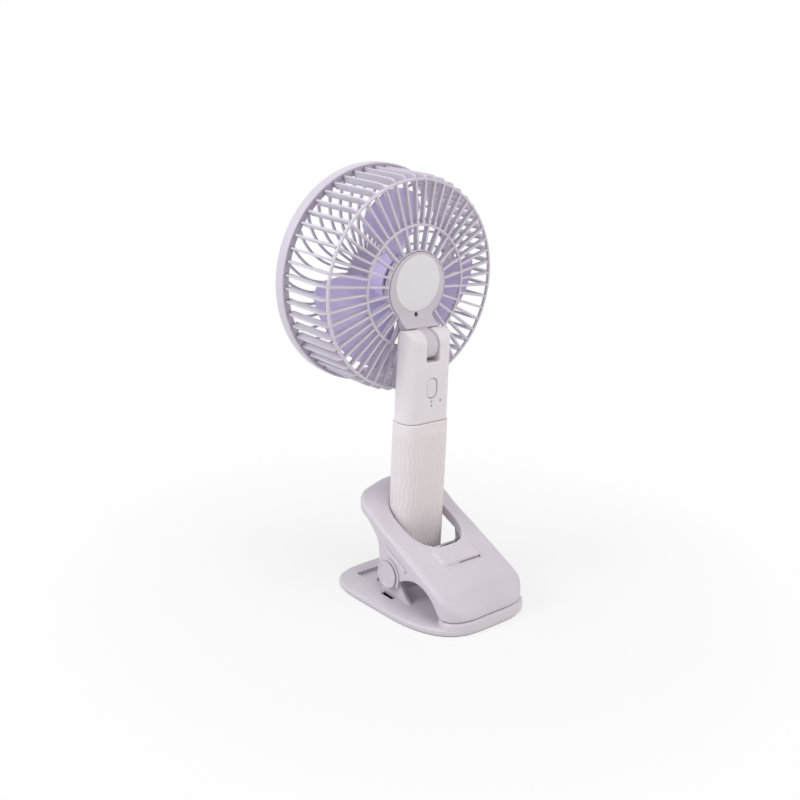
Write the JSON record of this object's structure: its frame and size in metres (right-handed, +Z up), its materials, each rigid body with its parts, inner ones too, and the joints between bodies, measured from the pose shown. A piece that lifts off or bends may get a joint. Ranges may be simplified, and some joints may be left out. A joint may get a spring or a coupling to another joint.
{
  "type": "clip-on fan",
  "caption": "Small round fan in a slatted cage on a swivelling handle, with a tilting head and a sprung clip base that also stands on a table.",
  "frame": {"origin": "on the underside of the rubber foot, under the handle's middle line", "axes": "+Z up along the handle; -Y is where the air leaves the head; +Y towards the jaw's tip; X along the jaw's pin"},
  "size_m": [0.1394, 0.1366, 0.2644],
  "materials": {
    "shell": "fine satin moulded plastic, pale lilac grey",
    "lilac": "smooth lilac plastic",
    "label": "plain white film, bare",
    "button": "smooth moulded plastic",
    "light_guide": "frosted clear plastic",
    "steel": "bright plated steel",
    "dark": "black moulded plastic",
    "board": "green board",
    "cell": "blue film sleeve, bare",
    "rubber": "dark grey soft rubber"
  },
  "bodies": {
    "base": {"base_plate": "shell", "rubber_foot": "rubber", "socket_screw_left": "steel", "socket_screw_right": "steel", "pivot_pin": "steel", "lip_pad": "rubber", "grip_shell": "shell", "battery_cell": "cell", "lower_contact": "steel", "upper_contact": "steel", "battery_bridge": "dark", "grip_plug": "dark", "torsion_spring": "steel"},
    "upper_handle": {"upper_handle_shell": "shell", "tilt_pin": "steel", "circuit_board": "board", "button_switch": "dark", "light_guide_1": "light_guide", "light_guide_2": "light_guide", "light_guide_3": "light_guide", "swivel_stem": "dark", "swivel_retainer": "steel"},
    "button": {"power_button": "button"},
    "head": {"rear_cage": "shell", "hub_cover": "shell", "hub_screw": "steel", "label_disc": "label", "front_grille": "shell", "front_badge": "label", "motor": "steel"},
    "rotor": {"rotor": "lilac", "rotor_cap": "lilac", "motor_shaft": "steel"},
    "jaw": {"upper_jaw": "shell", "pivot_cap_left": "shell", "pivot_cap_right": "shell", "jaw_pad": "rubber"}
  },
  "joints": [
    {"name": "handle_swivel", "type": "hinge", "parent": "base", "child": "upper_handle", "pos_m": [0, 0, 0.111], "axis": [0, 0, 1], "range_deg": [-170, 170]},
    {"name": "head_tilt", "type": "hinge", "parent": "upper_handle", "child": "head", "pos_m": [0, 0, 0.1583], "axis": [1, 0, 0], "range_deg": [-87, 2.6]},
    {"name": "rotor_spin", "type": "hinge", "parent": "head", "child": "rotor", "pos_m": [0, 0.00153, 0.19207], "axis": [0, 0.999, -0.0454], "continuous": true},
    {"name": "button_press", "type": "slide", "parent": "upper_handle", "child": "button", "axis": [0, -1, 0], "range_m": [0, 0.0008], "stiffness_N_per_m": 900, "springref_m": -0.0006},
    {"name": "jaw_open", "type": "hinge", "parent": "base", "child": "jaw", "pos_m": [0, 0.0132, 0.0193], "axis": [1, 0, 0], "range_deg": [0, 30], "stiffness_Nm_per_rad": 0.5, "springref_deg": -45.84, "deforming": ["torsion_spring"]}
  ]
}
